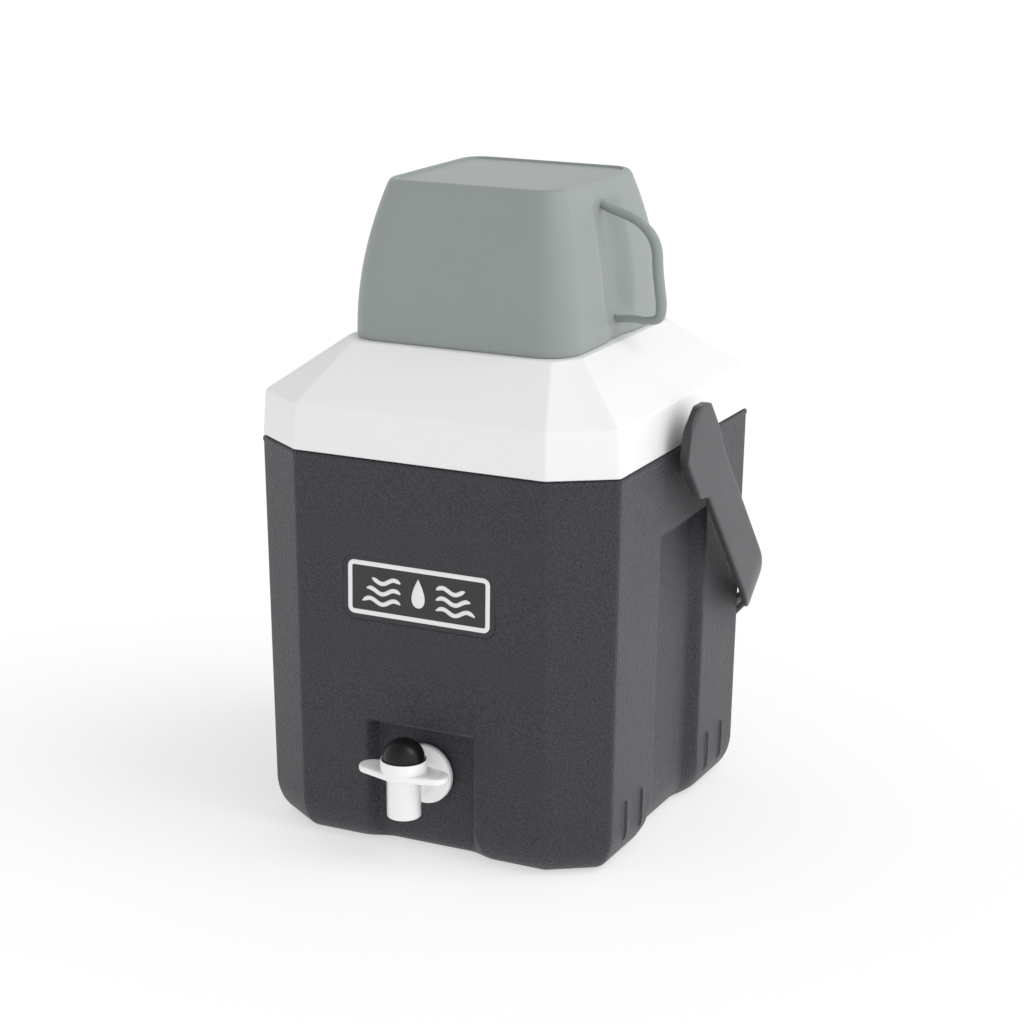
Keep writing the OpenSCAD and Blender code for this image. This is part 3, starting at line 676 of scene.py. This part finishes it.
# ---------------------------------------------------------------- bail

PIVOT_Z, BAIL_X, BAIL_T = 198.0, 113.6, 3.4
REST_ANGLE, ARM_HALF, ARM_LEN, GRIP_R = 40.0, 14.5, 98.5, 172.0
GRIP_TOP, GRIP_W = 12.0, 14.0
BEND_ANGLE, BEND_R, TIP_R = 36.0, 60.0, 20.0
HEAD_PINCH = -33.0                             # past this the end of the head is rounded, seen from the side
HEAD_SOFT = -33.2                              # past this it also thins towards its end


def bail_sides(s):
    """Lower and upper edge of the bail at distance s from the pivot along the arm."""
    low = np.interp(s, [-35, -24.5, 4, 13, 117], [-8, -22, -22, -ARM_HALF, -ARM_HALF])
    low += (ARM_HALF - GRIP_W + GRIP_TOP) * float(smooth((s - 112) / 18))
    high = np.interp(s, [-35, -25.5, -7, 14, 107, 130], [6.5, 17.5, 17.5, ARM_HALF, ARM_HALF, GRIP_TOP])
    if s < HEAD_PINCH:
        pinch = 2 - math.sqrt(max(4 - (s - HEAD_PINCH) ** 2, 0))
        low, high = low + pinch, high - pinch
    return float(low), float(high)


def bail_line():
    """Outer line of the bail from the right head to the left one: (x, s, angle of the surface)."""
    tip_s = GRIP_R + BAIL_T - TIP_R
    tan, cos = math.tan(math.radians(BEND_ANGLE)), math.cos(math.radians(BEND_ANGLE))
    tip_x = BAIL_X - BEND_R - (tip_s - ARM_LEN) * tan + (BEND_R - TIP_R) / cos
    arm = (-35, -34.8, -34.3, -33.6, -33, -30, -29, -27, -24.5, -18, -12, -7, 0, 4, 5.5, 7.5, 9.5, 11.5, 13,
           14, 24, 40, 60, 80, 92)
    line = [(BAIL_X, s, 0.0) for s in arm]
    for a in np.linspace(0, BEND_ANGLE, 17):
        t = math.radians(a)
        line.append((BAIL_X - BEND_R * (1 - math.cos(t)), ARM_LEN + BEND_R * math.sin(t), t))
    for a in np.linspace(BEND_ANGLE, 90, 15):
        t = math.radians(a)
        line.append((tip_x + TIP_R * math.cos(t), tip_s + TIP_R * math.sin(t), t))
    line += [(x, GRIP_R + BAIL_T, math.pi / 2) for x in (44, 24, 8)]
    return line + [(-x, s, math.pi - t) for x, s, t in line[::-1]]


def make_bail():
    """One moulded strap: smooth outside, and a shallow trough with an edge flange on the inside."""
    turn = Matrix.Translation((0, 0, PIVOT_Z * MM)) @ Matrix.Rotation(math.radians(REST_ANGLE), 4, "X")

    def spot(x, s, t):
        return turn @ (Vector((x, t, -s)) * MM)

    edge, head_extra, trough_depth, trough_start = 0.7, 1.5, 1.5, 20
    rows = []
    for x, s, angle in bail_line():
        low, high = bail_sides(s)
        head = head_extra * float(1 - smooth((s - 12) / 2))
        thick = BAIL_T + head
        normal = (math.cos(angle), math.sin(angle))
        trough = 0.0 if s < trough_start else trough_depth
        section = [(0.0, low + 2.6), (0.0, low + edge), (0.2, low + 0.2), (edge, low), (thick - edge, low),
                   (thick - 0.2, low + 0.2), (thick, low + edge), (thick, low + 1.9),
                   (thick - trough, low + 2.4), (thick - trough, (low + high) / 2),
                   (thick - trough, high - 2.4), (thick, high - 1.9),
                   (thick, high - edge), (thick - 0.2, high - 0.2), (thick - edge, high), (edge, high),
                   (0.2, high - 0.2), (0.0, high - edge), (0.0, high - 2.6), (0.0, (low + high) / 2)]
        if s < HEAD_SOFT:
            pull = min(0.6, (HEAD_SOFT - s) * 0.35)
            section = [(min(max(d, pull), thick - pull), t) for d, t in section]
        rows.append([spot(x - normal[0] * d, s - normal[1] * d, t) for d, t in section])
    strap = grid(rows, cap_start=True, cap_end=True)
    islands = [strap]
    for side in (1, -1):
        aim = Matrix.Translation((0, 0, PIVOT_Z * MM)) @ Matrix.Rotation(side * math.pi / 2, 4, "Y")
        stub = [(0, 88.1), (3.2, 88.1), (4.4, 91.1), (3.6, 91.1), (3.6, 108.5), (7.2, 108.5), (7.6, 108.9),
                (7.6, 109.2), (0, 110.0)]
        islands.append(lathe(stub, 48, aim))
    bail = add_mesh("carry_bail", islands, LOOK["handle"], "bail")
    recalc(bail)
    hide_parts("bail_handle")


# ---------------------------------------------------------------- tap

TAP_Y, SHANK_Z = 120.0, 42.8
BUTTON_R, BUTTON_TOP, COLLAR_Z = 10.6, 69.3, 58.6
COLLAR_R, WING_X, WING_R, WING_Z, WING_T = 11.85, 18.0, 6.7, 49.5, 3.2
CHAMBER_R, BORE_R, GUIDE_LOW, GUIDE_HIGH = 7.0, 4.9, 48.9, 51.3


def finger_plate():
    """Finger rest with round ends, widest at the barrel, with rounded edges.

    It is a closed ring, and its inner side is hidden in the wall of the barrel. The points of the straight
    stretches are at most a millimetre apart, because longer chords of that side would cut into the bore.
    """
    circles = ((-WING_X, WING_R), (0, COLLAR_R), (WING_X, WING_R))
    samples = 144
    corners = []
    for k in range(samples):
        a = 2 * math.pi * k / samples
        _, cx, r = max((cx * math.cos(a) + r, cx, r) for cx, r in circles)
        corners.append(np.array((cx + r * math.cos(a), r * math.sin(a))))
    ring = np.concatenate([np.linspace(p, q, 1 + int(math.dist(p, q)), endpoint=False)
                           for p, q in zip(corners, corners[1:] + corners[:1])])
    away = ring / np.linalg.norm(ring, axis=1)[:, None]
    hidden = COLLAR_R - 0.45
    rows = [[(*(p * hidden * MM), WING_Z * MM) for p in away]]
    edges = ((1.1, 0.0), (0.3, 0.2), (0.0, 0.8), (0.0, WING_T - 0.8), (0.3, WING_T - 0.2), (1.1, WING_T))
    for inset, up in edges:
        reach = np.maximum(np.linalg.norm(ring, axis=1) - inset, hidden)
        rows.append([(*(p * r * MM), (WING_Z + up) * MM) for p, r in zip(away, reach)])
    rows.append([(*(p * hidden * MM), (WING_Z + WING_T) * MM) for p in away])
    return grid(rows, loop=True)


def make_tap():
    """White tap in one moulding: barrel, spout, finger rest, shank and wall flange."""
    stand = Matrix.Translation((0, -TAP_Y * MM, 0))
    barrel = [(CHAMBER_R, 36.4), (CHAMBER_R, 28.6), (7.3, 28.2), (8.2, 28.2), (8.6, 28.6), (8.7, 47.4),
              (10.6, 49.2), (COLLAR_R, 50.8), (COLLAR_R, 57.8), (11.65, 58.4), (11.4, COLLAR_Z),
              (11.15, 58.4), (11.0, 57.8), (11.0, GUIDE_HIGH), (CHAMBER_R, GUIDE_HIGH),
              (CHAMBER_R, GUIDE_LOW), (BORE_R, GUIDE_LOW), (BORE_R, 36.4), (CHAMBER_R, 36.4)]
    lay = Matrix.Translation((0, 0, SHANK_Z * MM)) @ Matrix.Rotation(-math.pi / 2, 4, "X")
    neck = [(0, -TAP_Y + 5.8), (6.35, -TAP_Y + 5.8), (8.2, -TAP_Y + 7.6), (8.2, -102.0), (8.8, -100.7),
            (10.2, -100.1), (14.4, -100.0), (15.3, -99.6), (15.6, -98.9), (15.6, -96.6), (15.4, -96.2),
            (8.0, -96.2), (8.0, -76.0), (7.4, -75.2), (5.2, -75.2), (5.2, -110.0), (0, -110.0)]
    plate_points, plate_faces = finger_plate()
    plate = ([tuple(stand @ Vector(p)) for p in plate_points], plate_faces)
    islands = [lathe(barrel, 96, stand), lathe(neck, 96, lay), plate]
    tap = add_mesh("tap_moulding", islands, LOOK["tap"], "jug")
    recalc(tap)
    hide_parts("tap_body")


def make_button():
    """Domed rubber push button with a soft skirt."""
    crown = COLLAR_Z + 0.5
    dome = [(BUTTON_R * math.cos(math.radians(a)), crown + (BUTTON_TOP - crown) * math.sin(math.radians(a)))
            for a in np.linspace(0, 89.5, 22)]
    profile = [(0, 65.0), (7.2, 65.0), (9.0, 57.7), (9.05, 55.9), (9.3, 55.7), (10.3, 55.7), (10.6, 56.0)]
    stand = Matrix.Translation((0, -TAP_Y * MM, 0))
    shape = lathe(profile + dome + [(0, BUTTON_TOP)], 96, stand)
    button = add_mesh("push_dome", [shape], LOOK["button"], "push_button")
    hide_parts("tap_button")


# ---------------------------------------------------------------- badge

def badge_place():
    """The plane of the front wall at the badge, which leans with the wall."""
    tilt = math.atan(TAPER / SEAM_Z)
    return (Matrix.Translation((0, (-BODY_Y + lean(BADGE_Z)) * MM, BADGE_Z * MM))
            @ Matrix.Rotation(math.pi / 2 - tilt, 4, "X"))


def plate_rows(outline, levels, place):
    """A flat plate from its outline; levels holds (inset, height) pairs from the back to the face."""
    ring = np.array(outline)
    nxt, prv = np.roll(ring, -1, axis=0), np.roll(ring, 1, axis=0)
    along = nxt - prv
    inward = np.stack([-along[:, 1], along[:, 0]], 1) / np.linalg.norm(along, axis=1)[:, None]
    return [[tuple(place @ (Vector((p[0], p[1], h)) * MM)) for p in ring + inward * inset]
            for inset, h in levels]


def ring_line(outline, width, low, high, place):
    """A raised closed line of that width just inside the outline."""
    levels = [(0, low), (0, high - 0.08), (0.1, high), (width - 0.1, high), (width, high - 0.08),
              (width, low)]
    return grid(plate_rows(outline, levels, place))


def ribbon(points, width, low, high, place):
    """A raised open line with tapered ends."""
    p = np.array(points)
    d = np.gradient(p, axis=0)
    side = np.stack([-d[:, 1], d[:, 0]], 1) / np.linalg.norm(d, axis=1)[:, None]
    share = np.linspace(0, 1, len(p))
    half = width / 2 * np.clip(np.minimum(share, 1 - share) * 9, 0.12, 1) ** 0.5
    rows = []
    for q, s, h in zip(p, side, half):
        rows.append([tuple(place @ (Vector((*(q + s * k), z)) * MM))
                     for k, z in ((-h, low), (-h, high), (h, high), (h, low))])
    return grid(rows, cap_start=True, cap_end=True)


def make_badge():
    """Plain badge with a generic water mark: a frame line, a drop and waves."""
    place = badge_place()
    gap = 0.3
    w, h = BADGE_W / 2 - gap, BADGE_H / 2 - gap

    def box_loop(dx, r):
        x, y = w - dx, h - dx
        return rounded_loop([(-x, -y), (x, -y), (x, y), (-x, y)], [r] * 4, 8)

    plate = grid(plate_rows(box_loop(0, 5.8), [(0, -1.0), (0, -0.35), (0.25, -0.15), (0.6, -0.15)], place),
                 cap_start=True, cap_end=True)
    badge = add_mesh("badge", [plate], LOOK["badge"], "jug")
    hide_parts("badge_plate")
    low, high = -0.3, 0.0
    samples = 40
    drop = []
    for k in range(samples):
        a = 2 * math.pi * k / samples
        drop.append((5.0 * math.sin(a) * (0.5 - 0.5 * math.cos(a)) ** 0.62, 1.0 + 7.6 * math.cos(a)))
    drop_rows = plate_rows(drop[::-1], [(0, low), (0, high - 0.05), (0.08, high)], place)
    marks = [ring_line(box_loop(2.7, 3.6), 2.4, low, high, place),
             grid(drop_rows, cap_start=True, cap_end=True)]
    wave_start, wave_tall, wave_long = 10.0, 1.3, 2.2
    for side in (-1, 1):
        for row, reach in ((4.6, 26.0), (-0.8, 29.0), (-6.2, 31.5)):
            xs = np.linspace(wave_start, reach, 44)
            wave = [(side * x, row + wave_tall * math.sin((x - wave_start) / wave_long)) for x in xs]
            marks.append(ribbon(wave, 2.2, low, high, place))
    line = add_mesh("badge_marks", marks, LOOK["badge_line"], "jug")
    recalc(line)


# ---------------------------------------------------------------- stopper and neck

PITCH = 6


def helix(root, crest, z, turns, wide, narrow):
    """A thread with tapered ends, as an island."""
    steps = int(turns * 48)
    rows = []
    for i in range(steps + 1):
        a = 2 * math.pi * turns * i / steps
        share = min(i, steps - i) / 10
        tall = root + (crest - root) * min(1.0, share)
        mid = z + PITCH * a / (2 * math.pi)
        section = [(root, -wide / 2), (tall, -narrow / 2), (tall, narrow / 2), (root, wide / 2)]
        rows.append([(r * MM * math.cos(a), r * MM * math.sin(a), (mid + h) * MM) for r, h in section])
    return grid(rows, cap_start=True, cap_end=True)


def bar_outline():
    """Outline of the stopper's finger bar: round ends and hollow sides."""
    end_x, end_r, waist_r, waist_y, waist_half = 28, 6, 42, 46, 24
    outline = []
    for end in (1, -1):
        for k in range(17):
            a = math.radians(-80 + 160 * k / 16)
            outline.append((end * (end_x + end_r * math.cos(a)), end * end_r * math.sin(a)))
        for k in range(1, 16):
            x = end * (end_x - 2 * end_x * k / 16)
            hollow = waist_y - math.sqrt(max(waist_r ** 2 - x * x, 0))
            outline.append((x, end * (hollow if abs(x) < waist_half else 5.9)))
    return outline


def make_stopper():
    """Screw stopper: a threaded cap, hollow below, with a finger bar on its disc."""
    seat, core, low, disc_t, inside_r = 267.2, 36.0, 242.0, 3, 33.6
    face = seat + disc_t
    cap = fillet([(inside_r, low + 2), (core, low + 2), (core, seat), (43, seat), (43, face), (30, face),
                  (0, face)], [0.6, 0.2, 0.8, 1.2, 0])
    inside = [(0, seat - 2), (inside_r, seat - 2), (inside_r, low + 2)]
    place = Matrix.Translation((0, 0, face * MM))
    levels = [(-0.8, -0.3), (0, 0.5), (0, 12.2), (0.5, 13.5), (1.6, 14.0)]
    bar = grid(plate_rows(bar_outline(), levels, place), cap_start=True, cap_end=True)
    thread = helix(core - 0.3, 37.6, low + 8, 1.5, 2.2, 1.4)
    islands = [lathe(inside + cap[1:]), bar, thread]
    piece = add_mesh("stopper_shell", islands, LOOK["white"], "stopper")
    recalc(piece)
    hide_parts("stopper_cap")


def make_neck():
    """Filler neck: a flanged tube with an inner thread."""
    tube = fillet([(38, 240), (46, 240), (46, 242), (42, 242), (42, 266), (38, 266), (38, 240)],
                  [0.4, 0.4, 1.0, 0.8, 0.8])
    thread = helix(39.2, 36.4, 247, 2.25, 3.2, 1.4)
    mouth = add_mesh("neck_shell", [lathe(tube), thread], LOOK["liner"], "jug")
    recalc(mouth)
    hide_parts("filler_neck")


# ---------------------------------------------------------------- pieces that keep their CAD shape

KEPT = {
    "inner_liner": "liner", "foam_insulation": "foam", "foam_plug": "socket", "top_liner": "liner",
    "top_foam": "foam", "rim_gasket": "gasket", "stopper_foam": "foam", "stopper_base": "liner",
    "stopper_gasket": "gasket", "pivot_socket_left": "socket", "pivot_socket_right": "socket",
    "pivot_washer_left": "liner", "pivot_washer_right": "liner", "valve_stem": "tap",
    "valve_seal": "rubber", "return_spring": "spring", "stem_guide": "tap",
    "tap_outer_washer": "rubber", "tap_inner_washer": "rubber", "tap_nut": "tap",
}


def dress_kept():
    """Gives the pieces that keep their CAD shape their looks."""
    for node, look in KEPT.items():
        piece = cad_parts[node]
        for k in range(max(len(piece.material_slots), 1)):
            if piece.material_slots:
                piece.material_slots[k].material = LOOK[look]
            else:
                piece.data.materials.append(LOOK[look])


add_camera()
add_surround()
add_broad_source()
add_floor()
make_shell()
make_top()
make_cup()
make_bail()
make_tap()
make_button()
make_badge()
make_stopper()
make_neck()
dress_kept()
